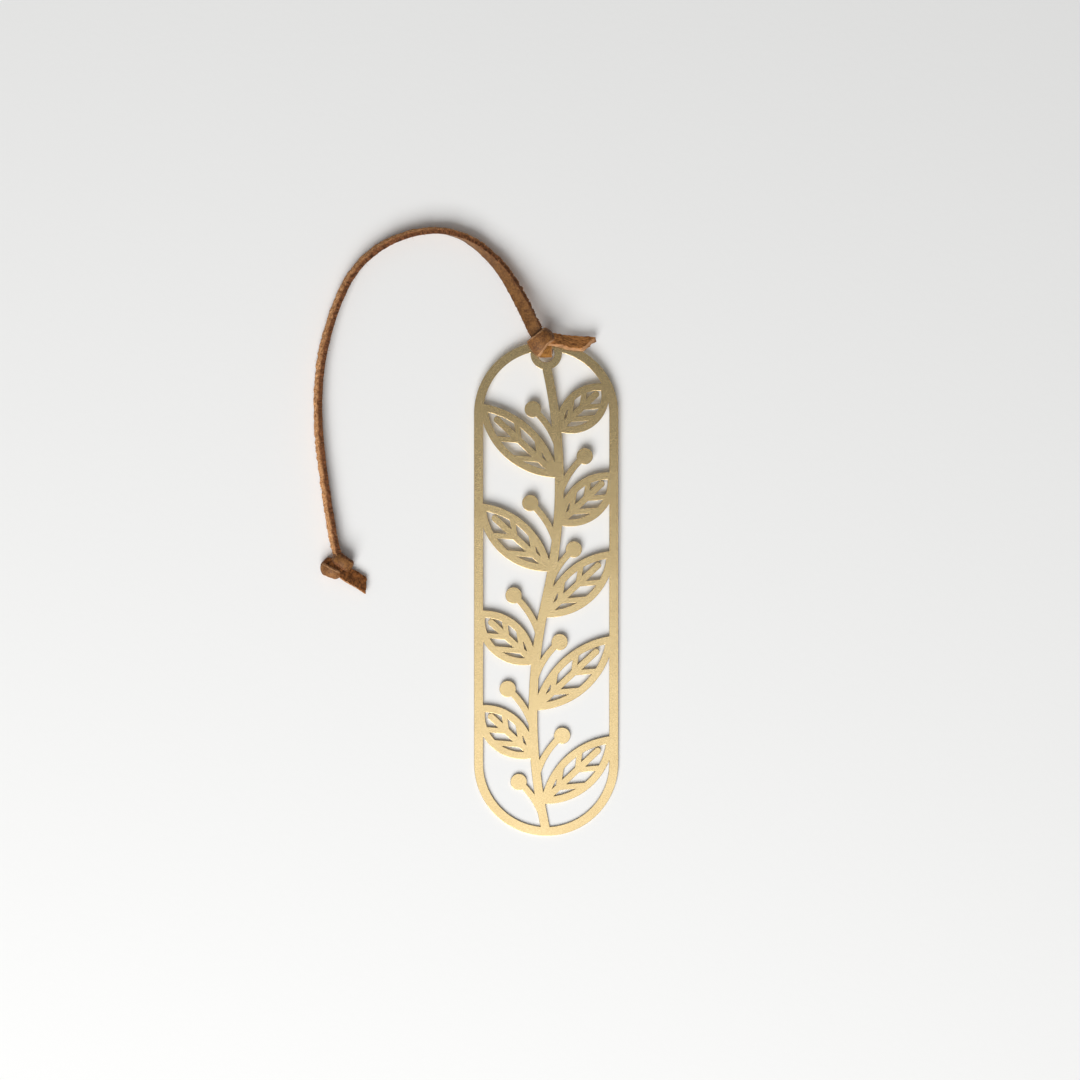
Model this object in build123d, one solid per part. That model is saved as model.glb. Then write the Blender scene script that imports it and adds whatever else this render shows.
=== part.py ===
from build123d import *
import math
import os

# Openwork brass bookmark with a knotted leather lace, lying face up on a table.
# Millimetres, +Z up. The origin is on the table under the middle of the plate, and +Y runs to its head.
# The foot of the plate rests on the table, and the loop of the lace under the head tips it up a little.

# Plate: one flat sheet with round ends
PLATE_LENGTH = 120.0
PLATE_WIDTH = 35.0
PLATE_THICKNESS = 0.5
BORDER_WIDTH = 2.2
HOLE_DIAMETER = 4.0
HOLE_RIM = 1.0
BOSS_WALL = 1.8

# Sprig: the openwork inside the border, a winding stem with veined leaves and berries left and right
STEM_WIDTH = 2.2
STEM_SWAY = 3.2
STEM_NODE_SHARE = 0.5
LEAF_ROOT_SHARES = (0.06, 0.16, 0.26, 0.36, 0.46, 0.56, 0.66, 0.76, 0.86)
LEAF_LINE = 1.8
LEAF_TURN = 47.0
LEAF_BELLY = 5.3
LEAF_BACK = 4.3
VEIN_WIDTH = 1.6
VEIN_SHARE = 0.78
SIDE_VEIN_WIDTH = 1.3
SIDE_VEIN_TURN = 38.0
SIDE_VEIN_SHARES = (0.24, 0.50)
BERRY_ROOT_SHARES = (0.02, 0.12, 0.22, 0.32, 0.42, 0.52, 0.62, 0.72, 0.82)
BERRY_DIAMETER = 4.0
BERRY_REACH = 6.2
BERRY_RISE = 9.8
STALK_WIDTH = 1.6
STALK_SAGITTA = 0.9

# Lace: a flat leather strip, and how much thinner it is where the loop and the knots squeeze it
LACE_WIDTH = 3.4
LACE_THICKNESS = 1.4
LACE_LEAN = 15.0
LOOP_WIDTH = 2.6
LOOP_THICKNESS = 1.0
LOOP_EDGE = 0.4
LOOP_CLEARANCE = 0.52

# Knot over the rim: a band wound round the lace, and the cut end that sticks out of it
KNOT_CLEARANCE = 0.2
KNOT_SHIFT_X = -1.5
KNOT_SHIFT_Y = 0.5
KNOT_BAND = 3.8
KNOT_SPAN = 6.8
KNOT_HEIGHT = 2.9
KNOT_WRAP = 0.8
KNOT_EDGE = 0.4
KNOT_SINK = 0.5
KNOT_STUB = 1.2
KNOT_TURN = 114.0
KNOT_BAND_TURN = 127.0
KNOT_TAIL_LENGTH = 11.5
KNOT_TAIL_CUT = 2.7
KNOT_TAIL_THICKNESS = 1.4
KNOT_TAIL_TURN = -2.0
KNOT_TAIL_DROOP = 8.5
KNOT_TAIL_ROLL = 26.0

# Knot at the free end, with its own cut end
END_KNOT_BAND = 3.8
END_KNOT_SPAN = 7.8
END_KNOT_HEIGHT = 4.2
END_KNOT_TURN = -51.0
END_TAIL_LENGTH = 8.6
END_TAIL_CUT = -2.0
END_TAIL_THICKNESS = 1.4
END_TAIL_TURN = -33.0
END_TAIL_LIFT = 1.5
END_TAIL_DROOP = 4.0
END_TAIL_ROLL = 20.0

# Lace route, from the rim's middle: places on the table plane, and heights where the neck comes down
NECK_RUN = 5.8
NECK_ROUTE = [(-11.4, 20.0, 3.4)]
STRAND_ROUTE = [(-22.1, 27.9), (-35.5, 26.8), (-46.4, 19.2), (-51.9, 7.4), (-55.0, -5.2),
                (-55.6, -18.1), (-54.2, -31.0), (-52.4, -43.8), (-50.8, -54.2)]
ROUTE_RUN_SHARE = 0.45
NECK_TWIST_SHARE = 0.9
NECK_SECTIONS = 9

# Places worked out from the sizes above
QUARTER_TURN = 90.0
OVERRUN = PLATE_WIDTH
END_CENTRE_Y = (PLATE_LENGTH - PLATE_WIDTH) / 2
HOLE_Y = PLATE_LENGTH / 2 - HOLE_RIM - HOLE_DIAMETER / 2
RIM_Y = PLATE_LENGTH / 2 - HOLE_RIM / 2
LOOP_BORE = math.hypot(HOLE_RIM, PLATE_THICKNESS) / 2 + LOOP_CLEARANCE
LOOP_RADIUS = LOOP_BORE + LOOP_THICKNESS


def plate_lean():
    """Angle that rests the foot's edge on the table when the loop carries the rim, in degrees."""
    arm = RIM_Y + PLATE_LENGTH / 2
    half_sheet = PLATE_THICKNESS / 2
    reach = math.hypot(arm, half_sheet)
    return math.degrees(math.asin(LOOP_RADIUS / reach) - math.atan2(half_sheet, arm))


LEAN = plate_lean()
FOOT_RISE = PLATE_LENGTH / 2 * math.sin(math.radians(LEAN))
EDGE_RISE = PLATE_THICKNESS / 2 * math.cos(math.radians(LEAN))
PLATE_PLACE = Pos(0, 0, FOOT_RISE + EDGE_RISE) * Rot(LEAN, 0, 0)
RIM_PLACE = PLATE_PLACE * Pos(0, RIM_Y, 0)
RIM = RIM_PLACE.position


def border_point(start, along):
    """Where a line going up from a point inside the plate meets the border's middle line."""
    line_radius = (PLATE_WIDTH - BORDER_WIDTH) / 2
    reach = (line_radius - math.copysign(start.X, start.X * along.X)) / abs(along.X)
    if (start + along * reach).Y > END_CENTRE_Y:
        offset = start - Vector(0, END_CENTRE_Y)
        inwards = offset.dot(along)
        reach = math.sqrt(inwards**2 - offset.dot(offset) + line_radius**2) - inwards
    return start + along * reach


def stem_line():
    """S-shaped stem of two tangent arcs, from the border's foot to the boss round the hole."""
    foot = Vector(0, -(PLATE_LENGTH - BORDER_WIDTH) / 2)
    head = Vector(0, HOLE_Y - HOLE_DIAMETER / 2 - BOSS_WALL / 2)
    node = foot + (head - foot) * STEM_NODE_SHARE
    upper_sway = STEM_SWAY * (1 - STEM_NODE_SHARE) / STEM_NODE_SHARE
    lower = SagittaArc(foot, node, STEM_SWAY)
    upper = SagittaArc(node, head, -upper_sway)
    return Curve() + [lower, upper]


def lens(root, tip, belly, back, inset=0):
    """Pointed leaf between two arcs, with its belly on the right of the way from root to tip."""
    chord = tip - root
    right = Vector(chord.Y, -chord.X).normalized()
    middle = (root + tip) / 2
    sides = []
    for bulge, outwards in ((belly, right), (back, right * -1)):
        radius = (chord.length**2 / 4 + bulge**2) / (2 * bulge)
        centre = middle + outwards * (bulge - radius)
        sides.append(Pos(centre.X, centre.Y) * Circle(radius - inset))
    return sides[0] & sides[1]


def leaf(root, side):
    """Veined leaf from the stem up to the border, on the left (-1) or the right (+1)."""
    along = Vector(0, 1).rotate(Axis.Z, -side * LEAF_TURN)
    tip = border_point(root, along)
    right_bulge, left_bulge = (LEAF_BELLY, LEAF_BACK) if side > 0 else (LEAF_BACK, LEAF_BELLY)
    outline = lens(root, tip, right_bulge, left_bulge)
    window = lens(root, tip, right_bulge, left_bulge, LEAF_LINE)
    vein_end = root + (tip - root) * VEIN_SHARE
    veins = trace(Line(root, vein_end), VEIN_WIDTH) + Pos(vein_end.X, vein_end.Y) * Circle(VEIN_WIDTH / 2)
    for share in SIDE_VEIN_SHARES:
        start = root + (tip - root) * share
        for turn in (SIDE_VEIN_TURN, -SIDE_VEIN_TURN):
            end = start + along.rotate(Axis.Z, turn) * (LEAF_BELLY + LEAF_BACK)
            veins += trace(Line(start, end), SIDE_VEIN_WIDTH)
    return outline - window + (veins & outline)


def berry(root, side):
    """Round berry on a curved stalk, in the gap between two leaves."""
    centre = root + Vector(side * BERRY_REACH, BERRY_RISE)
    stalk = trace(SagittaArc(root, centre, side * STALK_SAGITTA), STALK_WIDTH)
    return stalk + Pos(centre.X, centre.Y) * Circle(BERRY_DIAMETER / 2)


def sprig():
    """Stem, leaves and berries, alternating right and left up the stem."""
    stem = stem_line()
    stem_wire = Wire(stem.edges())
    lines = trace(stem, STEM_WIDTH)
    for count, (leaf_share, berry_share) in enumerate(zip(LEAF_ROOT_SHARES, BERRY_ROOT_SHARES)):
        leaf_side = 1 if count % 2 == 0 else -1
        lines += leaf(stem_wire @ leaf_share, leaf_side)
        lines += berry(stem_wire @ berry_share, -leaf_side)
    return lines


def pierced_plate():
    """Brass sheet: round-ended border, sprig and boss, with the hole for the lace."""
    outline = SlotOverall(PLATE_LENGTH, PLATE_WIDTH, rotation=QUARTER_TURN)
    clear_length = PLATE_LENGTH - 2 * BORDER_WIDTH
    clear = SlotOverall(clear_length, PLATE_WIDTH - 2 * BORDER_WIDTH, rotation=QUARTER_TURN)
    boss = Pos(0, HOLE_Y) * Circle(HOLE_DIAMETER / 2 + BOSS_WALL)
    hole = Pos(0, HOLE_Y) * Circle(HOLE_DIAMETER / 2)
    face = (outline - clear + sprig() + boss & outline) - hole
    sheet = extrude(face, PLATE_THICKNESS / 2, both=True)
    return PLATE_PLACE * sheet


def hole_loop():
    """Lace round the rim: a ring of flat section with worn edges about the rim's middle line."""
    section = chamfer(Rectangle(LOOP_WIDTH, LOOP_THICKNESS).vertices(), LOOP_EDGE)
    return RIM_PLACE * revolve(Pos(0, LOOP_BORE + LOOP_THICKNESS / 2) * section, Axis.X)


def knot_block(band, span, height):
    """Band wound round the doubled lace: an obround ring along X, with the lace sunk a little inside it."""
    inside = SlotOverall(span - 2 * KNOT_WRAP, height - 2 * KNOT_WRAP)
    wound = extrude(Plane.YZ * (SlotOverall(span, height) - inside), band / 2, both=True)
    ends = wound.faces().filter_by(Axis.X)
    wound = chamfer([end.outer_wire().edges() for end in ends], KNOT_EDGE)
    return wound + extrude(Plane.YZ * inside, band / 2 - KNOT_SINK, both=True)


def strip(start, end, cut, thickness):
    """Flat cut end of the lace along X, whose end slants back by the cut."""
    half = LACE_WIDTH / 2
    outline = make_face(Polyline((start, -half), (end - cut, -half), (end, half), (start, half), close=True))
    return extrude(outline, thickness / 2, both=True)


KNOT_RISE = LOOP_RADIUS + KNOT_CLEARANCE + KNOT_HEIGHT / 2
KNOT_PLACE = RIM_PLACE * Pos(KNOT_SHIFT_X, KNOT_SHIFT_Y, KNOT_RISE)
KNOT_AXIS_PLACE = KNOT_PLACE * Rot(0, 0, KNOT_TURN)
NECK_START = (KNOT_AXIS_PLACE * Pos(KNOT_BAND / 2 + KNOT_STUB, 0, 0)).position
NECK_BEND = (KNOT_AXIS_PLACE * Pos(KNOT_BAND / 2 + KNOT_STUB + NECK_RUN, 0, 0)).position
LACE_END = Vector(RIM.X + STRAND_ROUTE[-1][0], RIM.Y + STRAND_ROUTE[-1][1])
END_KNOT_PLACE = Pos(LACE_END.X, LACE_END.Y, END_KNOT_HEIGHT / 2) * Rot(0, 0, END_KNOT_TURN)
LEAN_ANGLE = math.radians(LACE_LEAN)
STRAND_RISE = (LACE_WIDTH * math.cos(LEAN_ANGLE) + LACE_THICKNESS * math.sin(LEAN_ANGLE)) / 2


def plate_knot():
    """Knot that closes the loop, on top of the rim."""
    stub_end = KNOT_BAND / 2 + KNOT_STUB
    stub = KNOT_AXIS_PLACE * Pos(stub_end / 2, 0, 0) * Box(stub_end, LACE_WIDTH, LACE_THICKNESS)
    return KNOT_PLACE * Rot(0, 0, KNOT_BAND_TURN) * knot_block(KNOT_BAND, KNOT_SPAN, KNOT_HEIGHT) + stub


def plate_knot_tail(knot):
    """Cut end that sticks out of the knot over the rim, to the right."""
    place = KNOT_PLACE * Rot(0, 0, KNOT_TAIL_TURN) * Rot(0, KNOT_TAIL_DROOP, 0) * Rot(-KNOT_TAIL_ROLL, 0, 0)
    start = KNOT_SPAN / 2 - KNOT_WRAP
    return place * strip(start, KNOT_TAIL_LENGTH, KNOT_TAIL_CUT, KNOT_TAIL_THICKNESS) - knot


def end_knot():
    """Knot at the free end, lying on the table."""
    return END_KNOT_PLACE * knot_block(END_KNOT_BAND, END_KNOT_SPAN, END_KNOT_HEIGHT)


def end_tail(knot):
    """Cut end below the end knot."""
    place = Pos(LACE_END.X, LACE_END.Y, END_TAIL_LIFT + END_TAIL_THICKNESS / 2)
    place = place * Rot(0, 0, END_TAIL_TURN) * Rot(0, END_TAIL_DROOP, 0) * Rot(-END_TAIL_ROLL, 0, 0)
    return place * strip(0, END_TAIL_LENGTH, END_TAIL_CUT, END_TAIL_THICKNESS) - knot


def route_points():
    """Corners of the lace's route, from the knot over the rim to the end knot."""
    neck = [Vector(RIM.X + x, RIM.Y + y, z) for x, y, z in NECK_ROUTE]
    strand = [Vector(RIM.X + x, RIM.Y + y, STRAND_RISE) for x, y in STRAND_ROUTE]
    return [NECK_START, NECK_BEND] + neck + strand


def lace_path():
    """Straight runs joined by tangent arcs, each as large as its two runs allow."""
    points = route_points()
    radii = []
    for before, corner, after in zip(points, points[1:], points[2:]):
        turn = math.radians((corner - before).get_angle(after - corner))
        shorter = min((corner - before).length, (after - corner).length)
        radii.append(ROUTE_RUN_SHARE * shorter / math.tan(turn / 2))
    print("lace radii", [round(radius, 1) for radius in radii])
    return FilletPolyline(*points, radius=radii)


def lace_section(path, share, turn):
    """Lace section across the path: on edge with no turn, flat with a quarter turn back."""
    along = path % share
    level = Vector(0, 0, 1).cross(along).normalized()
    across = level.rotate(Axis((0, 0, 0), along), -turn)
    return Plane(path @ share, x_dir=across, z_dir=along) * Rectangle(LACE_THICKNESS, LACE_WIDTH)


def lace_neck(path):
    """Stretch that comes down from the knot and twists until it leans inwards on its edge."""
    sections = []
    for step in range(NECK_SECTIONS):
        share = step / (NECK_SECTIONS - 1)
        untwisted = max(1 - share / NECK_TWIST_SHARE, 0)
        turn = LACE_LEAN - (QUARTER_TURN + LACE_LEAN) * untwisted
        sections.append(lace_section(path, share, turn))
    return loft(sections, ruled=True)


def lace_strand(path):
    """Free stretch that leans on its edge on the table, up to the face of the end knot."""
    ribbon = sweep(lace_section(path, 0, LACE_LEAN), path)
    share = ribbon.volume / (path.length * LACE_WIDTH * LACE_THICKNESS)
    print("strand volume over section times length", round(share, 4))
    return ribbon - END_KNOT_PLACE * Box(END_KNOT_BAND, OVERRUN, OVERRUN)


def build():
    """All pieces by node name."""
    knot = plate_knot()
    far_knot = end_knot()
    edges = lace_path().order_edges()
    neck_edges = 2 * (len(NECK_ROUTE) + 2)
    return {
        "pierced_plate": pierced_plate(),
        "hole_loop": hole_loop(),
        "plate_knot": knot,
        "plate_knot_tail": plate_knot_tail(knot),
        "lace_neck": lace_neck(Wire(edges[:neck_edges])),
        "lace_strand": lace_strand(Wire(edges[neck_edges:])),
        "end_knot": far_knot,
        "end_tail": end_tail(far_knot),
    }


def main():
    os.makedirs("parts", exist_ok=True)
    for name, piece in build().items():
        export_step(piece, f"parts/{name}.step")


if __name__ == "__main__":
    main()
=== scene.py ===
import math
import random

import bmesh
import bpy
from bpy.props import FloatProperty, FloatVectorProperty, IntProperty, PointerProperty
from mathutils import Matrix, Vector, noise


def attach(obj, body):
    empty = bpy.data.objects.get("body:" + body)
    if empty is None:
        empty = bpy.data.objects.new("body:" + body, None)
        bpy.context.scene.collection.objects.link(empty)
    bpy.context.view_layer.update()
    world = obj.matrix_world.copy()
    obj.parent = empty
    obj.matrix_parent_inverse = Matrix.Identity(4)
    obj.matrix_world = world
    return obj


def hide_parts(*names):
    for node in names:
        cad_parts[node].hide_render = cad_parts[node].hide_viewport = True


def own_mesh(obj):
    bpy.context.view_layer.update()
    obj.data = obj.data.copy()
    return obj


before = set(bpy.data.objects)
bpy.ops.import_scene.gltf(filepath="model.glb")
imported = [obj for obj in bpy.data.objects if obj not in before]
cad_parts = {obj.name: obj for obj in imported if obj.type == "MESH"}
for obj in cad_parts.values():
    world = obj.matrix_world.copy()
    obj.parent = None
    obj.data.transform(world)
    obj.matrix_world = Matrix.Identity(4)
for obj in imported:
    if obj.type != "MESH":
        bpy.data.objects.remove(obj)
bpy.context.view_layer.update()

bl_info = {
    "name": "Openwork bookmark",
    "version": (1, 0, 0),
    "blender": (4, 5, 0),
    "location": "View3D > Sidebar > Bookmark",
    "description": "Brass openwork bookmark with a knotted leather lace on a pale table",
    "category": "Add Mesh",
}

MM = 0.001

# Route of the lace, in millimetres, from the knot over the rim to the knot at its free end
LACE_ROUTE = (
    (-1.30, 59.80, 5.70), (-2.76, 62.77, 5.35), (-5.12, 68.07, 4.35), (-11.40, 79.49, 1.95),
    (-22.10, 87.39, 1.82), (-35.50, 86.29, 1.84), (-46.40, 78.69, 1.82), (-51.90, 66.89, 1.84),
    (-55.00, 54.29, 1.84), (-55.60, 41.39, 1.84), (-54.20, 28.49, 1.84), (-52.25, 15.69, 1.84),
    (-50.75, 7.90, 1.78), (-49.80, 6.20, 1.70),
)
# Turn of the lace about its line at each corner, in degrees: -90 flat, 0 on its edge, then leaning inwards
LACE_TURNS = (-80, -74, -64, -35, 2, 15, 17, 18, 18, 18, 18, 17, 17, 16)
# Share of the width left at the start by the knot over the rim, and each knot's reach in millimetres
LACE_START_SHARE = 0.85
KNOT_REACH = 2.6

# Loop through the hole and round the rim, in millimetres, and the point that its outer side looks away from
LOOP_ROUTE = (
    (0.0, 59.4, 3.2), (-0.2, 57.6, 3.15), (-0.1, 56.4, 2.2), (0.0, 57.5, 0.75),
    (0.0, 59.4, 0.6), (0.0, 60.7, 0.8), (0.0, 61.25, 2.1), (0.0, 60.7, 3.1),
)
LOOP_HEART = (0, 59.4, 2.1)
# Corner of the loop just outside the rim, and the share of the thickness left where the knot pulls it thin
LOOP_THIN_CORNER = 6
LOOP_THIN_SHARE = 0.65

# Wound bands, in millimetres: reach along the winding, rise, width, thickness, crown and sideways drift
KNOT_BAND = (
    (0.2, 1.45, 3.7, 1.1, 0.2, 0.0), (1.7, 1.0, 3.8, 1.0, 0.3, 0.0),
    (2.3, -0.1, 4.1, 0.8, 0.9, 0.0), (1.8, -0.95, 3.8, 0.9, 0.2, 0.0),
    (0.0, -0.9, 3.6, 0.9, 0.0, 0.0), (-1.8, -0.6, 3.8, 0.9, 0.2, -0.2),
    (-2.9, 0.0, 4.9, 0.8, 0.4, -0.45), (-1.6, 1.0, 4.5, 1.0, 0.3, -0.35),
)
END_BAND = (
    (0.0, 3.70, 3.2, 1.15, 0.4, 0.0), (1.5, 3.0, 3.2, 1.1, 0.4, 0.0),
    (2.0, 1.8, 3.0, 1.0, 0.4, 0.0), (1.4, 0.75, 2.8, 1.0, 0.0, 0.0),
    (0.0, 0.7, 2.6, 1.0, 0.0, 0.0), (-1.4, 0.75, 2.8, 1.0, 0.0, 0.0),
    (-2.0, 1.8, 3.0, 1.0, 0.4, 0.0), (-1.5, 3.0, 3.2, 1.1, 0.4, 0.0),
)
END_TURN = (
    (0.0, 3.10, 2.8, 1.15, 0.3, 0.0), (1.4, 2.6, 2.7, 1.1, 0.3, 0.0),
    (1.85, 1.6, 2.5, 1.0, 0.5, 0.0), (1.3, 0.75, 2.4, 1.0, 0.0, 0.0),
    (0.0, 0.7, 2.4, 1.0, 0.0, 0.0), (-1.3, 0.75, 2.4, 1.0, 0.0, 0.0),
    (-1.85, 1.6, 2.7, 1.0, 0.5, 0.0), (-1.4, 2.6, 3.0, 1.1, 0.3, 0.0),
)

# Cut ends: place in millimetres, the way that the grain side looks there, and width in millimetres
KNOT_TAIL = (
    ((0.4, 60.4, 5.5), (0.05, -0.35, -0.9), 2.8),
    ((2.9, 60.25, 5.0), (0.1, -0.5, -0.85), 3.1),
    ((5.4, 59.6, 2.95), (0.05, -0.55, -0.84), 4.0),
    ((9.2, 59.4, 2.95), (-0.05, -0.55, -0.84), 3.7),
)
END_TAIL = (
    ((-53.6, 6.4, 0.8), (0.6, -0.5, 0.5), 2.4),
    ((-53.3, 6.3, 2.0), (0.3, -0.5, -0.8), 2.8),
    ((-51.7, 5.8, 2.7), (-0.1, -0.3, -0.95), 3.2),
    ((-50.0, 4.9, 2.4), (-0.2, -0.3, -0.93), 3.3),
    ((-48.6, 3.6, 1.7), (-0.18, -0.28, -0.94), 3.4),
    ((-46.4, 2.5, 1.15), (-0.15, -0.23, -0.96), 3.5),
    ((-42.95, 0.30, 1.05), (-0.13, -0.2, -0.97), 3.5),
)
# Wear on the corners of the bands' suede side, and of the cut ends' grain and suede sides, in millimetres
BAND_SUEDE_CORNER = 0.3
TAIL_CORNERS = (0.12, 0.16)

# Sides of the lace, in the order of their materials, and how far each frays, as a share of the burr
GRAIN, SUEDE, LONG_EDGE, CUT_END = range(4)
FRAY_SHARES = (0.08, 0.7, 1.0, 1.0)
# Share of the fraying left on worn bands and cut ends
WORN_SHARE = 0.5
# Fraying at the middle of the thickness, and how much of it is lost from the suede side to the grain side
FRAY_LEVEL = 0.85
FRAY_FALL = 1.1
# Shares of the fine fraying beside the coarse, and of the fraying outwards beside that across
FINE_SHARE = 0.8
OUTWARD_SHARE = 0.7
# Sizes of the leather's swells, of its coarse and fine fraying, and of the nicks in a cut, in millimetres
SWELL_SIZE = 2.6
COARSE_SIZE = 1.1
FINE_SIZE = 0.4
NICK_SIZE = 0.9
# Dark rim along the long edges: its share at the suede side, and how much it gains towards the grain side
RIM_START = 0.35
RIM_GAIN = 0.9
# Least height of the lace over the table, in millimetres
TABLE_GAP = 0.02
# Start of the noise that frays the leather, fixed so that every run gives the same lace
NOISE_SEED = 5

# Steps between two corners of the lace and of a short strip, then of a section's corner, edge and side
LACE_STEPS = 48
STRIP_STEPS = 24
CORNER_STEPS = 3
EDGE_STEPS = 4
SIDE_STEPS = 9
# Least angle between two faces of leather that shows as a crease, in degrees
CREASE = 65

# Start of the random draws that place the loose fibres
FIBRE_SEED = 11
# Loose fibres, in millimetres: least height of the root, thinnest and thickest, shortest and longest
FIBRE_ROOT = 0.6
FIBRE_RADII = (0.02, 0.05)
FIBRE_REACHES = (0.2, 0.8)
# Shares of a fibre's reach: its waist, how far it stands out, sinks in and drifts, and how much it tapers
FIBRE_WAIST = 0.55
FIBRE_STAND = 0.8
FIBRE_SINK = 0.1
FIBRE_DRIFT = 0.7
FIBRE_TAPER = 0.6
# Step along the leather's pattern from one corner of a fibre to the next, in millimetres
FIBRE_STEP = 0.7

# Pattern sizes of the leather and of the table, in millimetres, as coarse as they need to be to show
PORE_SIZE = 0.42
SPECK_SIZE = 0.36
CLOUD_SIZE = 1.9
NAP_SIZE = 0.9
TOOTH_SIZE = 1.6
# Depth of the brass's grit as a share of its size, and the shares of the grit and of the cloud in its tone
GRIT_DEPTH = 0.2
GRIT_SHARE = 0.65
PATCH_SHARE = 0.35
# Shares of the pores and of the specks in the tone of the grain side, beside its cloud
PORE_SHARE = -0.3
SPECK_SHARE = 0.6
# Shares of the streaks and of the nap in the tone of raw leather, and how far it breaks up the dark rim
STREAK_SHARE = 0.65
NAP_SHARE = 0.35
RIM_BREAK = 2.2

# Least upward part of the normal of the sheet's upper face in CAD, and of a flat face of the finished plate
UPPER_FACE = 0.9
FLAT_FACE = 0.99
# Gaps closed in the sheet's CAD mesh and in the finished plate, in millimetres
CAD_GAP = 0.002
PLATE_GAP = 0.0001
# Outlines of the plate: steps in an arc, and, in degrees, its least corner and a straight line's most turn
ARC_STEPS = 4
OUTLINE_CORNER = 24
STRAIGHT_TURN = 0.5
# How many times longer than its neighbour a stretch of outline is when it counts as straight
STRAIGHT_RATIO = 3
# Least angle between two faces of the plate's edge that shows as a corner, in degrees
PLATE_CORNER = 50


def linear(code):
    """Linear RGB of an sRGB hex colour."""
    channels = [int(code[start:start + 2], 16) / 255 for start in (1, 3, 5)]
    return [value / 12.92 if value <= 0.04045 else ((value + 0.055) / 1.055) ** 2.4 for value in channels]


def colour_property(name, code, description):
    """Colour setting whose default is an sRGB hex value."""
    return FloatVectorProperty(name=name, description=description, subtype="COLOR", size=3,
                               min=0, max=1, default=linear(code))


def length_property(name, millimetres, description):
    """Length setting, given in millimetres and kept in metres."""
    return FloatProperty(name=name, description=description, unit="LENGTH", min=0,
                         default=millimetres * MM)


class PlateSettings(bpy.types.PropertyGroup):
    """Sizes and colours of the brass plate."""
    thickness: length_property("Thickness", 0.5, "Thickness of the sheet")
    edge: length_property("Edge", 0.07, "Radius of the rounding that tumbling leaves on every edge")
    grit: length_property("Grit", 0.34, "Grain of the satin finish, drawn coarser than 0.1 mm to show")
    cloud: length_property("Cloud", 9.0, "Size of the faint cloudy patches in the metal")
    brass_dark: colour_property("Brass, dark", "#CCB17C", "Brass in the hollows of the grain")
    brass_pale: colour_property("Brass, pale", "#EAD19B", "Brass on the tops of the grain")


class LaceSettings(bpy.types.PropertyGroup):
    """Sizes and colours of the leather lace."""
    width: length_property("Width", 3.4, "Width of the lace")
    thickness: length_property("Thickness", 1.4, "Thickness of the lace")
    length: length_property("Free length", 130.5, "Length of the lace between its two knots")
    grain_corner: length_property("Grain corner", 0.12, "Wear on the corners of the smooth side")
    suede_corner: length_property("Suede corner", 0.34, "Wear on the corners of the flesh side")
    burr: length_property("Burr", 0.36, "How far the raw sides fray out and in")
    wave: length_property("Wave", 0.07, "How far the leather swells and sinks by itself")
    nick: length_property("Nick", 0.8, "How raggedly the two ends are cut")
    loop_width: length_property("Loop width", 3.0, "Width of the lace squeezed through the hole")
    loop_thickness: length_property("Loop thickness", 1.1, "Thickness of the lace in the hole")
    fibres: IntProperty(name="Fibres", description="Number of loose fibres along the raw sides",
                        min=0, default=900)
    grain_dark: colour_property("Grain side, dark", "#5C391C", "Smooth side in its pores")
    grain_pale: colour_property("Grain side, pale", "#8E6234", "Smooth side between its pores")
    pulled_dark: colour_property("Knotted grain, dark", "#623D20", "Smooth side of a knot in its pores")
    pulled_pale: colour_property("Knotted grain, pale", "#9B6937", "Smooth side of a knot between pores")
    suede_dark: colour_property("Suede side, dark", "#8A562F", "Flesh side between its fibres")
    suede_pale: colour_property("Suede side, pale", "#F0B67E", "Flesh side on its fibres")
    # Suede of the rim knot's cut end: its own brown, darkened beyond the lace's suede as painted shade for
    # a face tilted away from the light
    shaded_tail_dark: colour_property("Tail suede with painted shade, dark", "#784A28", "Rim knot's cut end between its fibres, darkened as painted shade")
    shaded_tail_pale: colour_property("Tail suede with painted shade, pale", "#DA9656", "Rim knot's cut end on its fibres, darkened as painted shade")
    loop_dark: colour_property("Loop, dark", "#68431F", "Outer side of the loop between its fibres")
    loop_pale: colour_property("Loop, pale", "#AC773B", "Outer side of the loop on its fibres")
    edge_dark: colour_property("Long edge, dark", "#3F2617", "Long cut edges between their fibres")
    edge_pale: colour_property("Long edge, pale", "#8F5B39", "Long cut edges on their fibres")
    # Suede of the far end's cut end: its own dark brown, darkened beyond the lace's suede as painted shade
    # for a face tilted away from the light
    end_dark: colour_property("Far end, dark", "#432611", "Flesh side of the far end between fibres")
    end_pale: colour_property("Far end, pale", "#965E31", "Flesh side of the far end on its fibres")
    cut_dark: colour_property("Fresh cut, dark", "#8F6440", "Fresh cuts between their layers")
    cut_pale: colour_property("Fresh cut, pale", "#CE9C70", "Fresh cuts on their layers")


class StageSettings(bpy.types.PropertyGroup):
    """Camera, lights and table."""
    camera_height: length_property("Camera height", 810.0, "Height of the camera over the table")
    view_width: length_property("View width", 262.5, "Width of the picture on the table")
    view_x: FloatProperty(name="View middle X", description="Middle of the picture on the table, across",
                          unit="LENGTH", default=-1.5 * MM)
    view_y: FloatProperty(name="View middle Y", description="Middle of the picture on the table, upwards",
                          unit="LENGTH", default=11.9 * MM)
    table_size: length_property("Table size", 4000.0, "Side of the square table top")
    table_colour: colour_property("Table", "#F7F7F6", "Matt white of the table top")
    key_glow: FloatProperty(name="Key glow", description="Brightness of the soft box at the front left",
                            min=0, default=6.75)
    key_side: length_property("Key side", 980.0, "Side of the square soft box at the front left")
    over_glow: FloatProperty(name="Overhead glow", description="Brightness of the screen overhead",
                             min=0, default=1.33)
    over_side: length_property("Overhead side", 470.0, "Side of the square screen that the brass mirrors")
    sky: FloatProperty(name="Sky", description="Strength of the even light from all round",
                       min=0, default=0.175)


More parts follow.
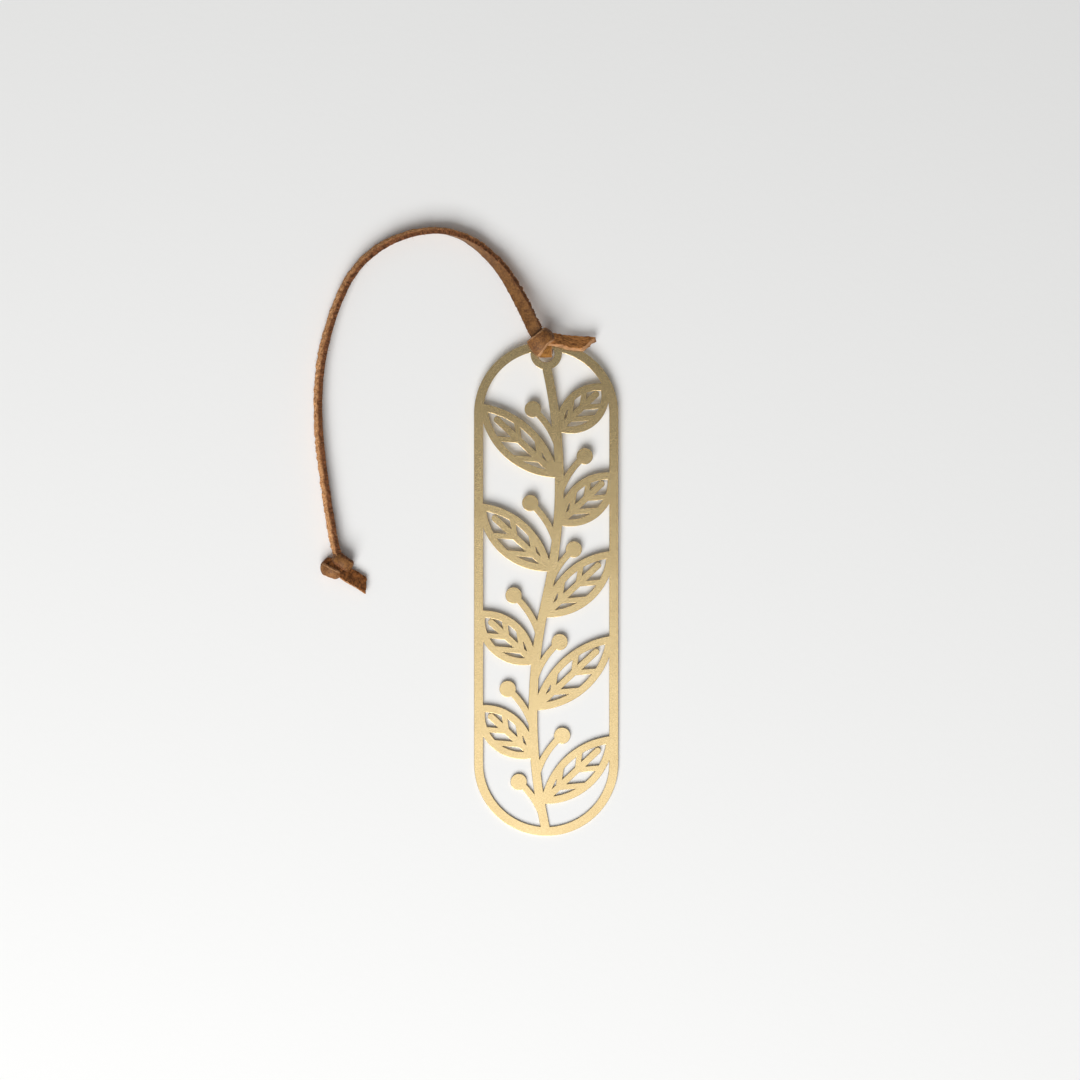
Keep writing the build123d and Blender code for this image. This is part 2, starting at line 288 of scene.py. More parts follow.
def add_node(tree, kind, inputs=None, **settings):
    """Adds a node with its settings, and sets or links its inputs."""
    node = tree.nodes.new(kind)
    for name, value in settings.items():
        setattr(node, name, value)
    for name, value in (inputs or {}).items():
        if isinstance(value, bpy.types.NodeSocket):
            tree.links.new(value, node.inputs[name])
        else:
            node.inputs[name].default_value = value
    return node


def new_material(name):
    """Node material, with its tree and its main shader."""
    material = bpy.data.materials.new(name)
    material.use_nodes = True
    tree = material.node_tree
    return material, tree, tree.nodes["Principled BSDF"]


def rgba(colour):
    """Colour setting with full alpha."""
    return (*colour, 1.0)


def satin_brass(settings):
    """Etched, tumbled and lacquered brass: a fine even grit that softens every reflection into a glow."""
    material, tree, shader = new_material("satin_brass")
    place = add_node(tree, "ShaderNodeTexCoord").outputs["Object"]
    grit = add_node(tree, "ShaderNodeTexNoise", {
        "Vector": place, "Scale": 1 / settings.grit, "Detail": 3.0, "Roughness": 0.6}).outputs["Fac"]
    cloud = add_node(tree, "ShaderNodeTexNoise", {
        "Vector": place, "Scale": 1 / settings.cloud, "Detail": 4.0}).outputs["Fac"]
    patches = add_node(tree, "ShaderNodeMath", {0: cloud, 1: PATCH_SHARE}, operation="MULTIPLY").outputs[0]
    tone = add_node(tree, "ShaderNodeMath", {0: grit, 1: GRIT_SHARE, 2: patches},
                    operation="MULTIPLY_ADD").outputs[0]
    depth = add_node(tree, "ShaderNodeMapRange", {"Value": tone, "From Min": 0.3, "From Max": 0.7})
    colour = add_node(tree, "ShaderNodeMix", {
        "Factor": depth.outputs["Result"], "A": rgba(settings.brass_dark),
        "B": rgba(settings.brass_pale)}, data_type="RGBA")
    gloss = add_node(tree, "ShaderNodeMapRange", {"Value": grit, "To Min": 0.18, "To Max": 0.27})
    bump = add_node(tree, "ShaderNodeBump", {
        "Height": grit, "Strength": 0.18, "Distance": settings.grit * GRIT_DEPTH})
    tree.links.new(colour.outputs["Result"], shader.inputs["Base Color"])
    tree.links.new(gloss.outputs["Result"], shader.inputs["Roughness"])
    tree.links.new(bump.outputs["Normal"], shader.inputs["Normal"])
    shader.inputs["Metallic"].default_value = 1.0
    shader.inputs["Coat Weight"].default_value = 0.8
    shader.inputs["Coat Roughness"].default_value = 0.22
    return material


def grain_leather(name, dark, pale):
    """Smooth side of vegetable-tanned leather: pebbled pores, specks and cloudy browns, dull with wax."""
    material, tree, shader = new_material(name)
    place = add_node(tree, "ShaderNodeTexCoord").outputs["Object"]
    pores = add_node(tree, "ShaderNodeTexVoronoi", {
        "Vector": place, "Scale": 1 / (PORE_SIZE * MM)}).outputs["Distance"]
    specks = add_node(tree, "ShaderNodeTexNoise", {
        "Vector": place, "Scale": 1 / (SPECK_SIZE * MM), "Detail": 2.0}).outputs["Fac"]
    cloud = add_node(tree, "ShaderNodeTexNoise", {
        "Vector": place, "Scale": 1 / (CLOUD_SIZE * MM), "Detail": 5.0, "Roughness": 0.65}).outputs["Fac"]
    pits = add_node(tree, "ShaderNodeMath", {0: pores, 1: PORE_SHARE, 2: cloud},
                    operation="MULTIPLY_ADD").outputs[0]
    tone = add_node(tree, "ShaderNodeMath", {0: specks, 1: SPECK_SHARE, 2: pits},
                    operation="MULTIPLY_ADD").outputs[0]
    depth = add_node(tree, "ShaderNodeMapRange", {"Value": tone, "From Min": 0.44, "From Max": 0.88})
    colour = add_node(tree, "ShaderNodeMix", {
        "Factor": depth.outputs["Result"], "A": rgba(dark), "B": rgba(pale)}, data_type="RGBA")
    bump = add_node(tree, "ShaderNodeBump", {"Height": tone, "Strength": 0.6, "Distance": 0.13 * MM})
    tree.links.new(colour.outputs["Result"], shader.inputs["Base Color"])
    tree.links.new(bump.outputs["Normal"], shader.inputs["Normal"])
    shader.inputs["Roughness"].default_value = 0.58
    shader.inputs["Specular IOR Level"].default_value = 0.3
    return material


def fibrous_leather(name, dark, pale, streak, width, slant, sheen, rim=None):
    """Raw leather: slanting fibres that end raggedly where a dark rim begins.

    The streaks' length and width are in millimetres, more than those of real fibres, so that they show.
    """
    material, tree, shader = new_material(name)
    along = add_node(tree, "ShaderNodeUVMap", uv_map="along_lace").outputs["UV"]
    fibres = add_node(tree, "ShaderNodeMapping", {
        "Vector": along, "Rotation": (0, 0, math.radians(slant)), "Scale": (streak, width, 1)},
        vector_type="TEXTURE").outputs["Vector"]
    streaks = add_node(tree, "ShaderNodeTexNoise", {
        "Vector": fibres, "Scale": 1.0, "Detail": 4.0, "Roughness": 0.6, "Distortion": 0.5}).outputs["Fac"]
    place = add_node(tree, "ShaderNodeTexCoord").outputs["Object"]
    nap = add_node(tree, "ShaderNodeTexNoise", {
        "Vector": place, "Scale": 1 / (NAP_SIZE * MM), "Detail": 4.0}).outputs["Fac"]
    patches = add_node(tree, "ShaderNodeMath", {0: nap, 1: NAP_SHARE}, operation="MULTIPLY").outputs[0]
    tone = add_node(tree, "ShaderNodeMath", {0: streaks, 1: STREAK_SHARE, 2: patches},
                    operation="MULTIPLY_ADD").outputs[0]
    depth = add_node(tree, "ShaderNodeMapRange", {"Value": tone, "From Min": 0.40, "From Max": 0.58})
    colour = add_node(tree, "ShaderNodeMix", {
        "Factor": depth.outputs["Result"], "A": rgba(dark), "B": rgba(pale)}, data_type="RGBA")
    if rim:
        edge = add_node(tree, "ShaderNodeUVMap", uv_map="long_edge").outputs["UV"]
        share = add_node(tree, "ShaderNodeSeparateXYZ", {"Vector": edge}).outputs["X"]
        ragged = add_node(tree, "ShaderNodeMath", {0: tone, 1: RIM_BREAK, 2: share},
                          operation="MULTIPLY_ADD").outputs[0]
        blend = add_node(tree, "ShaderNodeMapRange", {"Value": ragged, "From Min": 1.47, "From Max": 1.72})
        depth = add_node(tree, "ShaderNodeMapRange", {"Value": tone, "From Min": 0.40, "From Max": 0.62})
        shade = add_node(tree, "ShaderNodeMix", {
            "Factor": depth.outputs["Result"], "A": rgba(rim[0]), "B": rgba(rim[1])}, data_type="RGBA")
        colour = add_node(tree, "ShaderNodeMix", {
            "Factor": blend.outputs["Result"], "A": colour.outputs["Result"],
            "B": shade.outputs["Result"]}, data_type="RGBA")
    bump = add_node(tree, "ShaderNodeBump", {"Height": tone, "Strength": 0.8, "Distance": 0.25 * MM})
    tree.links.new(colour.outputs["Result"], shader.inputs["Base Color"])
    tree.links.new(bump.outputs["Normal"], shader.inputs["Normal"])
    shader.inputs["Roughness"].default_value = 0.92
    shader.inputs["Specular IOR Level"].default_value = 0.2
    shader.inputs["Sheen Weight"].default_value = sheen
    shader.inputs["Sheen Roughness"].default_value = 0.5
    shader.inputs["Sheen Tint"].default_value = rgba(pale)
    return material


def painted_board(settings):
    """Matt painted board: nearly even white with a faint fine tooth."""
    material, tree, shader = new_material("painted_board")
    place = add_node(tree, "ShaderNodeTexCoord").outputs["Object"]
    tooth = add_node(tree, "ShaderNodeTexNoise", {
        "Vector": place, "Scale": 1 / (TOOTH_SIZE * MM), "Detail": 4.0}).outputs["Fac"]
    bump = add_node(tree, "ShaderNodeBump", {"Height": tooth, "Strength": 0.06, "Distance": 0.3 * MM})
    tree.links.new(bump.outputs["Normal"], shader.inputs["Normal"])
    shader.inputs["Base Color"].default_value = rgba(settings.table_colour)
    shader.inputs["Roughness"].default_value = 0.9
    shader.inputs["Specular IOR Level"].default_value = 0.1
    return material


def make_leathers(settings):
    """Makes every leather of the lace, by the names that the finishes use."""
    rim = (settings.edge_dark, settings.edge_pale)
    grain_leather("grain_leather", settings.grain_dark, settings.grain_pale)
    grain_leather("pulled_grain_leather", settings.pulled_dark, settings.pulled_pale)
    fibrous_leather("suede_leather", settings.suede_dark, settings.suede_pale,
                    streak=1.1, width=0.30, slant=78, sheen=0.2, rim=rim)
    # Darker copy of the suede for the rim knot's cut end: partly its own brown, partly painted shade on a
    # face tilted away from the light
    fibrous_leather("shaded_tail_suede_leather", settings.shaded_tail_dark, settings.shaded_tail_pale,
                    streak=2.0, width=0.24, slant=7, sheen=0.1)
    fibrous_leather("worn_leather", settings.loop_dark, settings.loop_pale,
                    streak=1.0, width=0.17, slant=15, sheen=0.1)
    # Darker copy of the suede for the far end's cut end: partly its own brown, partly painted shade on a
    # face tilted away from the light
    fibrous_leather("shaded_end_suede_leather", settings.end_dark, settings.end_pale,
                    streak=0.7, width=0.26, slant=50, sheen=0.1)
    fibrous_leather("cut_leather", settings.cut_dark, settings.cut_pale,
                    streak=2.4, width=0.26, slant=4, sheen=0.1)


# Leathers of each stretch of lace, in the order of its sides
FINISHES = {
    "lace": ("grain_leather", "suede_leather", "suede_leather", "cut_leather"),
    "loop": ("worn_leather", "suede_leather", "cut_leather", "cut_leather"),
    "band": ("pulled_grain_leather", "suede_leather", "suede_leather", "cut_leather"),
    "turn": ("pulled_grain_leather", "suede_leather", "cut_leather", "cut_leather"),
    # The cut ends' suede sides use darker copies of the suede, partly painted shade on faces tilted away
    # from the light
    "tail": ("grain_leather", "shaded_tail_suede_leather", "cut_leather", "cut_leather"),
    "end": ("grain_leather", "shaded_end_suede_leather", "cut_leather", "shaded_end_suede_leather"),
}


def lace_finish(kind):
    """Materials of a stretch of lace, in the order of its sides, made when first asked for."""
    if FINISHES[kind][GRAIN] not in bpy.data.materials:
        make_leathers(bpy.context.scene.bookmark_lace)
    return [bpy.data.materials[name] for name in FINISHES[kind]]


def new_piece(name, mesh):
    """Object of a finished mesh, in the scene."""
    piece = bpy.data.objects.new(name, mesh)
    bpy.context.scene.collection.objects.link(piece)
    return piece


def metres(points):
    """Points in metres, from a table in millimetres."""
    return [Vector(point) * MM for point in points]


def spline_points(points, closed, steps):
    """Points along the NURBS spline with these control points."""
    curve = bpy.data.curves.new("route", "CURVE")
    curve.dimensions = "3D"
    spline = curve.splines.new("NURBS")
    spline.points.add(len(points) - 1)
    for knot, place in zip(spline.points, points):
        knot.co = (*place, 1.0)
    spline.use_cyclic_u = closed
    spline.order_u = 3
    spline.use_endpoint_u = not closed
    spline.resolution_u = steps
    holder = bpy.data.objects.new("route", curve)
    mesh = bpy.data.meshes.new_from_object(holder)
    places = [vertex.co.copy() for vertex in mesh.vertices]
    bpy.data.objects.remove(holder)
    bpy.data.curves.remove(curve)
    bpy.data.meshes.remove(mesh)
    return places


def strip_section(half_width, half_thickness, grain_corner, suede_corner):
    """Outline of the lace's section as (height, across, side of the next face)."""
    grain_level = half_thickness - grain_corner
    suede_level = half_thickness - suede_corner
    grain_reach = half_width - grain_corner
    suede_reach = half_width - suede_corner
    # Middle and radius of each rounded corner, its side, and the side and steps of the run after it
    stations = (
        (grain_level, grain_reach, grain_corner, LONG_EDGE, LONG_EDGE, EDGE_STEPS),
        (-suede_level, suede_reach, suede_corner, SUEDE, SUEDE, SIDE_STEPS),
        (-suede_level, -suede_reach, suede_corner, SUEDE, LONG_EDGE, EDGE_STEPS),
        (grain_level, -grain_reach, grain_corner, LONG_EDGE, GRAIN, SIDE_STEPS),
    )
    arcs = []
    for quarter, (level, reach, corner, *_) in enumerate(stations):
        arc = []
        for step in range(CORNER_STEPS + 1):
            angle = math.radians(90 * quarter + 90 / CORNER_STEPS * step)
            arc.append((level + corner * math.cos(angle), reach + corner * math.sin(angle)))
        arcs.append(arc)
    outline = []
    for quarter, (_, _, _, corner_side, run_side, steps) in enumerate(stations):
        outline += [(*point, corner_side) for point in arcs[quarter][:CORNER_STEPS]]
        start = Vector(arcs[quarter][CORNER_STEPS])
        end = Vector(arcs[(quarter + 1) % len(stations)][0])
        outline += [(*start.lerp(end, step / steps), run_side) for step in range(steps)]
    return outline


def strip_faces(outline, count, closed):
    """Faces of a strip of that many sections, and the side of the lace that each one is on."""
    girth = len(outline)
    faces, sides = [], []
    for index in range(count if closed else count - 1):
        here = index * girth
        there = (index + 1) % count * girth
        for step, (_, _, side) in enumerate(outline):
            onwards = (step + 1) % girth
            faces.append((here + step, here + onwards, there + onwards, there + step))
            sides.append(side)
    if not closed:
        faces.append(tuple(reversed(range(girth))))
        faces.append(tuple(range((count - 1) * girth, count * girth)))
        sides += [CUT_END, CUT_END]
    return faces, sides


def lace_strip(name, route, facings, sizes, finish, cut=0.0, bevel=0.0, closed=False, steps=STRIP_STEPS,
               corners=None):
    """Flat strip of leather along a spline, whose grain side looks the way of the facings.

    The sizes are width, thickness and crown at each corner of the route. A worn strip gives the wear on the
    corners of its grain and suede sides. Its end slants back by the cut across and by the bevel through it.
    """
    settings = bpy.context.scene.bookmark_lace
    grain_corner, suede_corner = corners or (settings.grain_corner, settings.suede_corner)
    fray_share = WORN_SHARE if corners else 1.0
    nick = settings.nick if cut else 0.0
    middle = spline_points(route, closed, steps)
    guide = spline_points([place + facing * MM for place, facing in zip(route, facings)], closed, steps)
    spans = spline_points([Vector(size) for size in sizes], closed, steps)
    count = len(middle)
    vertices, marks, rims = [], [], []
    travelled = 0.0
    for index, place in enumerate(middle):
        before = middle[index - 1] if closed or index else place
        after = middle[(index + 1) % count] if closed or index < count - 1 else place
        if index:
            travelled += (place - middle[index - 1]).length
        along = (after - before).normalized()
        facing = guide[index] - place
        facing = (facing - along * facing.dot(along)).normalized()
        side = along.cross(facing)
        width, thickness, crown = spans[index]
        outline = strip_section(width / 2, thickness / 2, grain_corner, suede_corner)
        # The cut tells from the middle of the strip on, and fully at its end
        cut_share = max(0.0, 2 * index / (count - 1) - 1)
        girth = 0.0
        last = outline[-1]
        for height, across, zone in outline:
            girth += math.hypot(height - last[0], across - last[1])
            last = (height, across)
            spread = 2 * across / width
            bulge = crown * (1 - spread * spread) * (height > 0)
            spot = place + facing * (height + bulge) + side * across
            swell = noise.noise_vector(spot / (SWELL_SIZE * MM)) * settings.wave
            fine = noise.noise_vector(spot / (FINE_SIZE * MM)) * FINE_SHARE
            rough = noise.noise_vector(spot / (COARSE_SIZE * MM)) + fine
            fray = settings.burr * FRAY_SHARES[zone] * fray_share
            fray *= FRAY_LEVEL - height / thickness * FRAY_FALL
            spot += swell + (side * rough.x + facing * rough.y * OUTWARD_SHARE) * fray
            ragged = noise.noise(Vector((across, height, 0)) / (NICK_SIZE * MM)) * nick
            slant = cut * (spread + 1) / 2 + bevel * (0.5 - height / thickness)
            spot -= along * cut_share * (slant + ragged)
            spot.z = max(spot.z, TABLE_GAP * MM)
            vertices.append(spot)
            marks.append((travelled / MM, girth / MM))
            inwards = max(0.0, width / 2 - suede_corner - abs(across)) / MM
            rim = RIM_START + (height / thickness + 0.5) * RIM_GAIN - inwards
            rims.append((min(1.0, max(0.0, rim)), 0.0))
    faces, sides = strip_faces(outline, count, closed)
    mesh = bpy.data.meshes.new(name)
    mesh.from_pydata(vertices, [], faces)
    for polygon, zone in zip(mesh.polygons, sides):
        polygon.material_index = zone
    for layer_name, places in (("along_lace", marks), ("long_edge", rims)):
        layer = mesh.uv_layers.new(name=layer_name)
        for loop in mesh.loops:
            layer.data[loop.index].uv = places[loop.vertex_index]
    for material in lace_finish(finish):
        mesh.materials.append(material)
    mesh.set_sharp_from_angle(angle=math.radians(CREASE))
    return new_piece(name, mesh)


def loose_fibres(name, lace, count):
    """Short tapering hairs on the raw sides of a stretch of lace, each a closed three-sided spike."""
    chance = random.Random(FIBRE_SEED)
    raw = [polygon for polygon in lace.data.polygons
           if polygon.material_index in (SUEDE, LONG_EDGE) and polygon.center.z > FIBRE_ROOT * MM]
    vertices, faces = [], []
    for polygon in chance.sample(raw, count):
        root = polygon.center
        out = polygon.normal
        drift = Vector([chance.uniform(-1, 1) for _ in range(3)])
        across = out.cross(drift).normalized() * chance.uniform(*FIBRE_RADII) * MM
        beside = out.cross(across)
        reach = chance.uniform(*FIBRE_REACHES) * MM
        first = len(vertices)
        for share in (0.0, FIBRE_WAIST):
            spot = root + out * reach * (share * FIBRE_STAND - FIBRE_SINK)
            spot += drift * reach * share * share * FIBRE_DRIFT
            for angle in (0.0, math.tau / 3, math.tau * 2 / 3):
                outward = across * math.cos(angle) + beside * math.sin(angle)
                vertices.append(spot + outward * (1 - share * FIBRE_TAPER))
        vertices.append(root + out * reach * FIBRE_STAND + drift * reach * FIBRE_DRIFT)
        faces.append((first + 2, first + 1, first))
        for step in range(3):
            onwards = (step + 1) % 3
            faces.append((first + step, first + onwards, first + 3 + onwards, first + 3 + step))
            faces.append((first + 3 + step, first + 3 + onwards, first + 6))
    mesh = bpy.data.meshes.new(name)
    mesh.from_pydata(vertices, [], faces)
    layer = mesh.uv_layers.new(name="along_lace")
    for loop in mesh.loops:
        layer.data[loop.index].uv = (loop.vertex_index * FIBRE_STEP, loop.vertex_index % 2)
    mesh.materials.append(lace_finish("lace")[SUEDE])
    return new_piece(name, mesh)


def wound_band(name, rows, heart, turn, finish, grain_corner, tilt=(0.0, 0.0, 0.0)):
    """Closed band of lace wound about a knot's heart, from a table in millimetres and a turn in degrees.

    The tilt leans the outer side of the band that way.
    """
    wrap = Vector((math.cos(math.radians(turn)), math.sin(math.radians(turn)), 0))
    up = Vector((0, 0, 1))
    beside = up.cross(wrap)
    route, facings, sizes = [], [], []
    for index, (reach, rise, width, thickness, crown, drift) in enumerate(rows):
        before, after = rows[index - 1], rows[(index + 1) % len(rows)]
        route.append((Vector(heart) + wrap * reach + up * rise + beside * drift) * MM)
        outward = (wrap * (before[1] - after[1]) + up * (after[0] - before[0])).normalized()
        facings.append((outward + Vector(tilt)).normalized())
        sizes.append(Vector((width, thickness, crown)) * MM)
    corners = (grain_corner * MM, BAND_SUEDE_CORNER * MM)
    return lace_strip(name, route, facings, sizes, finish, closed=True, corners=corners)


def cut_tail(name, rows, thickness, finish, cut, bevel=0.0):
    """Cut end of the lace, from a table of places, looks and widths, with its sizes in millimetres."""
    route = metres([place for place, _, _ in rows])
    facings = [Vector(look).normalized() for _, look, _ in rows]
    sizes = [(width * MM, thickness * MM, 0.0) for _, _, width in rows]
    corners = tuple(corner * MM for corner in TAIL_CORNERS)
    return lace_strip(name, route, facings, sizes, finish, cut=cut * MM, bevel=bevel * MM, corners=corners)


def turned_facings(route, turns):
    """Directions of the lace's inner side at the corners of its route, turned about the lace's own line."""
    facings = []
    for index, turn in enumerate(turns):
        along = (route[min(index + 1, len(route) - 1)] - route[max(index - 1, 0)]).normalized()
        level = Vector((0, 0, 1)).cross(along).normalized()
        upright = along.cross(level)
        angle = math.radians(turn)
        facings.append(level * math.cos(angle) - upright * math.sin(angle))
    return facings


def sheet_outlines(mesh):
    """Outlines of the sheet's upper face as loops of points, and the face's normal."""
    sheet = bmesh.new()
    sheet.from_mesh(mesh)
    bmesh.ops.remove_doubles(sheet, verts=sheet.verts, dist=CAD_GAP * MM)
    follower = {}
    normal = Vector()
    for face in sheet.faces:
        if face.normal.z < UPPER_FACE:
            continue
        normal += face.normal * face.calc_area()
        for corner in face.loops:
            if sum(other.normal.z > UPPER_FACE for other in corner.edge.link_faces) == 1:
                follower[corner.vert] = corner.link_loop_next.vert
    outlines = []
    while follower:
        vertex = next(iter(follower))
        outline = []
        while vertex in follower:
            outline.append(vertex.co.copy())
            vertex = follower.pop(vertex)
        outlines.append(outline)
    sheet.free()
    return outlines, normal.normalized()


def outline_headings(chords):
    """Direction of a closed outline at the start of each chord, or None at a sharp corner."""
    headings = []
    for index, after in enumerate(chords):
        before = chords[index - 1]
        shorter, longer = sorted((before.length, after.length))
        if before.angle(after) > math.radians(OUTLINE_CORNER):
            headings.append(None)
        elif longer > STRAIGHT_RATIO * shorter:
            headings.append(max(before, after, key=lambda chord: chord.length).normalized())
        else:
            blend = before.normalized() * after.length + after.normalized() * before.length
            headings.append(blend.normalized())
    return headings


def smooth_outline(corners):
    """Closed outline with the arcs between its sharp corners drawn by more points."""
    count = len(corners)
    chords = [corners[(index + 1) % count] - corners[index] for index in range(count)]
    headings = outline_headings(chords)
    outline = []
    for index, chord in enumerate(chords):
        start, end = headings[index], headings[(index + 1) % count]
        straight = chord.normalized()
        outline.append(corners[index])
        if start is None and end is None:
            continue
        start = start or straight * (2 * straight.dot(end)) - end
        end = end or straight * (2 * straight.dot(start)) - start
        if max(start.angle(straight), end.angle(straight)) < math.radians(STRAIGHT_TURN):
            continue
        for step in range(1, ARC_STEPS):
            share = step / ARC_STEPS
            back = 1 - share
            ahead = share * share * (3 - 2 * share)
            lift = start * (share * back * back) - end * (share * share * back)
            outline.append(corners[index] + chord * ahead + lift * chord.length)
    return outline


def rounded_sheet(outlines, thickness, edge):
    """Closed mesh of a sheet with these outlines, whose edges are rounded and whose faces stay flat."""
    curve = bpy.data.curves.new("plate_outline", "CURVE")
    curve.dimensions = "2D"
    curve.fill_mode = "BOTH"
    curve.extrude = thickness / 2 - edge
    curve.bevel_depth = edge
    curve.bevel_resolution = 2
    curve.offset = -edge
    for outline in outlines:
        spline = curve.splines.new("POLY")
        spline.points.add(len(outline) - 1)
        for point, place in zip(spline.points, outline):
            point.co = (*place, 0.0, 1.0)
        spline.use_cyclic_u = True
    holder = bpy.data.objects.new("plate_outline", curve)
    mesh = bpy.data.meshes.new_from_object(holder)
    bpy.data.objects.remove(holder)
    bpy.data.curves.remove(curve)
    sheet = bmesh.new()
    sheet.from_mesh(mesh)
    bmesh.ops.remove_doubles(sheet, verts=sheet.verts, dist=PLATE_GAP * MM)
    for face in sheet.faces:
        face.smooth = True
    for edge_line in sheet.edges:
        flat = [abs(face.normal.z) > FLAT_FACE for face in edge_line.link_faces]
        edge_line.smooth = flat[0] == flat[1] and edge_line.calc_face_angle() < math.radians(PLATE_CORNER)
    sheet.to_mesh(mesh)
    sheet.free()
    return mesh


class BOOKMARK_OT_brass_plate(bpy.types.Operator):
    """Brass plate: the cut sheet with its edges rounded by the tumbling"""
    bl_idname = "bookmark.brass_plate"
    bl_label = "Brass plate"

    def execute(self, context):
        settings = context.scene.bookmark_plate
        outlines, normal = sheet_outlines(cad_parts["pierced_plate"].data)
        across = Vector((1, 0, 0))
        upwards = normal.cross(across)
        middle = normal * (outlines[0][0].dot(normal) - settings.thickness / 2)
        flat = []
        for outline in outlines:
            corners = [Vector((place.dot(across), place.dot(upwards))) for place in outline]
            flat.append(smooth_outline(corners))
        mesh = rounded_sheet(flat, settings.thickness, settings.edge)
        mesh.name = "brass_plate"
        turn = Matrix((across, upwards, normal)).transposed().to_4x4()
        mesh.transform(Matrix.Translation(middle) @ turn)
        mesh.materials.append(satin_brass(settings))
        piece = new_piece("brass_plate", mesh)
        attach(piece, "plate")
        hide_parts("pierced_plate")
        return {"FINISHED"}


class BOOKMARK_OT_lace(bpy.types.Operator):
    """Free stretch of the lace, from the knot over the rim to the knot at its end"""
    bl_idname = "bookmark.lace"
    bl_label = "Lace"

    def execute(self, context):
        settings = context.scene.bookmark_lace
        route = metres(LACE_ROUTE)
        facings = turned_facings(route, LACE_TURNS)
        sizes = [(settings.width, settings.thickness, 0.0)] * len(route)
        sizes[0] = (settings.width * LACE_START_SHARE, settings.thickness, 0.0)
        piece = lace_strip("leather_lace", route, facings, sizes, "lace", steps=LACE_STEPS)
        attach(piece, "lace")
        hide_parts("lace_neck", "lace_strand")
        hairs = loose_fibres("lace_fibres", piece, settings.fibres)
        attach(hairs, "lace")
        free = [place for place in spline_points(route, False, LACE_STEPS)
                if min((place - route[end]).length for end in (0, -1)) > KNOT_REACH * MM]
        return {"FINISHED"}


class BOOKMARK_OT_loop(bpy.types.Operator):
    """Loop of the lace through the hole and round the rim of the plate"""
    bl_idname = "bookmark.loop"
    bl_label = "Loop"

    def execute(self, context):
        settings = context.scene.bookmark_lace
        route = metres(LOOP_ROUTE)
        heart = Vector(LOOP_HEART) * MM
        facings = [Vector((0, *(place - heart).normalized().yz)) for place in route]
        sizes = [(settings.loop_width, settings.loop_thickness, 0.0)] * len(route)
        sizes[LOOP_THIN_CORNER] = (settings.loop_width, settings.loop_thickness * LOOP_THIN_SHARE, 0.0)
        piece = lace_strip("lace_loop", route, facings, sizes, "loop", closed=True)
        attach(piece, "loop")
        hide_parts("hole_loop")
        return {"FINISHED"}


class BOOKMARK_OT_rim_knot(bpy.types.Operator):
    """Knot over the rim: the band wound round the lace, and the cut end beside it"""
    bl_idname = "bookmark.rim_knot"
    bl_label = "Knot over the rim"

    def execute(self, context):
        band = wound_band("knot_band", KNOT_BAND, heart=(-1.2, 60.1, 5.8), turn=37.0, finish="turn",
                          grain_corner=0.35, tilt=(-0.12, -0.1, 0.0))
        tail = cut_tail("knot_tail", KNOT_TAIL, thickness=1.25, finish="tail", cut=-3.0, bevel=0.5)
        for piece, node in ((band, "plate_knot"), (tail, "plate_knot_tail")):
            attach(piece, "lace")
            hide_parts(node)
        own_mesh(tail)
        return {"FINISHED"}


class BOOKMARK_OT_end_knot(bpy.types.Operator):
    """Knot at the free end: the band and the turn that show as two lobes, and the cut end across them"""
    bl_idname = "bookmark.end_knot"
    bl_label = "End knot"

    def execute(self, context):
        band = wound_band("end_knot_band", END_BAND, heart=(-49.35, 6.7, 0.0), turn=-36.0, finish="band",
                          grain_corner=0.5)
        turn = wound_band("end_knot_turn", END_TURN, heart=(-52.3, 4.2, 0.0), turn=-25.0, finish="turn",
                          grain_corner=0.3, tilt=(-0.22, -0.5, 0.0))
        tail = cut_tail("end_knot_tail", END_TAIL, thickness=1.15, finish="end", cut=2.1)
        for piece in (band, turn, tail):
            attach(piece, "lace")
        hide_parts("end_knot")
        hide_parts("end_tail")
        return {"FINISHED"}


def soft_box(name, height_angle, side_angle, distance, side, glow):
    """Square soft light that looks at the middle of the table, from in front and a little to the left."""
    light = bpy.data.lights.new(name, "AREA")
    light.size = side
    light.energy = glow * math.pi * side * side
    box = bpy.data.objects.new(name, light)
    low, turn = math.radians(height_angle), math.radians(side_angle)
    aside = -math.sin(turn) * math.cos(low)
    forward = -math.cos(turn) * math.cos(low)
    box.location = Vector((aside, forward, math.sin(low))) * distance
    box.rotation_euler = (-box.location).to_track_quat("-Z", "Y").to_euler()
    box.visible_camera = False
    bpy.context.scene.collection.objects.link(box)


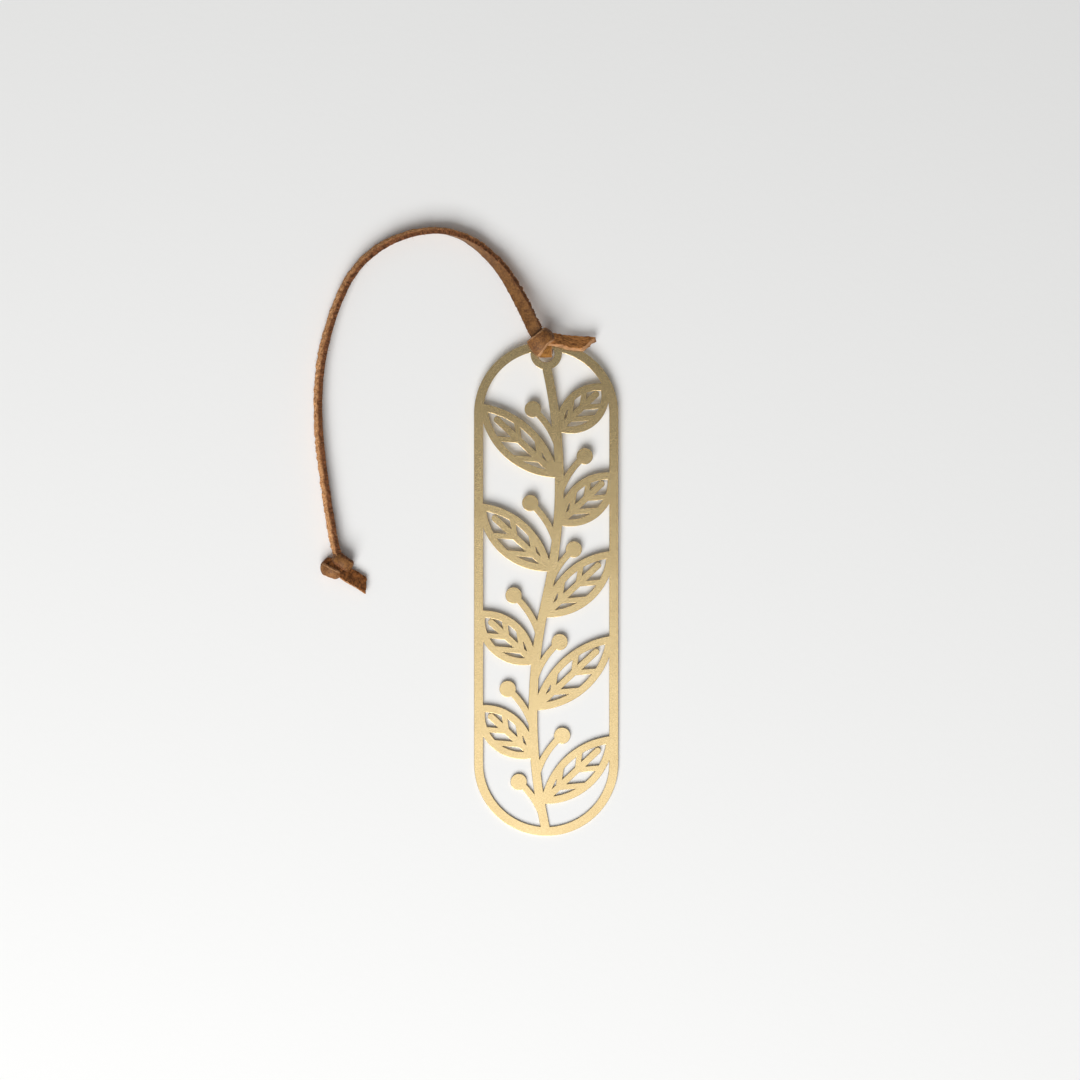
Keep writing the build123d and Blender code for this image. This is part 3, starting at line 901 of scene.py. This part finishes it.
class BOOKMARK_OT_stage(bpy.types.Operator):
    """Table, lights and the camera straight above"""
    bl_idname = "bookmark.stage"
    bl_label = "Stage"

    def execute(self, context):
        scene = context.scene
        settings = scene.bookmark_stage
        scene.view_settings.view_transform = "Standard"
        camera = bpy.data.objects.new("camera", bpy.data.cameras.new("camera"))
        camera.location = (settings.view_x, settings.view_y, settings.camera_height)
        camera.data.sensor_fit = "HORIZONTAL"
        camera.data.lens = camera.data.sensor_width * settings.camera_height / settings.view_width
        camera.data.clip_start = 10 * MM
        scene.collection.objects.link(camera)
        scene.camera = camera
        bpy.ops.object.select_all(action="DESELECT")
        bpy.ops.mesh.primitive_plane_add(size=settings.table_size)
        table = context.active_object
        table.name = "table_top"
        table.data.materials.append(painted_board(settings))
        soft_box("key_box", height_angle=46.0, side_angle=18.0, distance=1.35,
                 side=settings.key_side, glow=settings.key_glow)
        soft_box("over_screen", height_angle=77.0, side_angle=4.0, distance=1.2,
                 side=settings.over_side, glow=settings.over_glow)
        world = bpy.data.worlds.new("room")
        world.use_nodes = True
        background = world.node_tree.nodes["Background"]
        background.inputs["Color"].default_value = (1.0, 1.0, 1.0, 1.0)
        background.inputs["Strength"].default_value = settings.sky
        scene.world = world
        return {"FINISHED"}


# Operators in the order that they run
STEPS = ("stage", "loop", "rim_knot", "end_knot", "lace", "brass_plate")


class BOOKMARK_PT_panel(bpy.types.Panel):
    """Steps that dress the bookmark"""
    bl_idname = "BOOKMARK_PT_panel"
    bl_label = "Bookmark"
    bl_space_type = "VIEW_3D"
    bl_region_type = "UI"
    bl_category = "Bookmark"

    def draw(self, context):
        for step in STEPS:
            self.layout.operator("bookmark." + step)


CLASSES = (PlateSettings, LaceSettings, StageSettings, BOOKMARK_OT_stage, BOOKMARK_OT_loop,
           BOOKMARK_OT_rim_knot, BOOKMARK_OT_end_knot, BOOKMARK_OT_lace, BOOKMARK_OT_brass_plate,
           BOOKMARK_PT_panel)


def register():
    for item in CLASSES:
        bpy.utils.register_class(item)
    bpy.types.Scene.bookmark_plate = PointerProperty(type=PlateSettings)
    bpy.types.Scene.bookmark_lace = PointerProperty(type=LaceSettings)
    bpy.types.Scene.bookmark_stage = PointerProperty(type=StageSettings)


def unregister():
    del bpy.types.Scene.bookmark_stage
    del bpy.types.Scene.bookmark_lace
    del bpy.types.Scene.bookmark_plate
    for item in reversed(CLASSES):
        bpy.utils.unregister_class(item)


def main():
    """Dresses the bookmark step by step."""
    register()
    noise.seed_set(NOISE_SEED)
    for step in STEPS:
        getattr(bpy.ops.bookmark, step)()


if __name__ == "__main__":
    main()
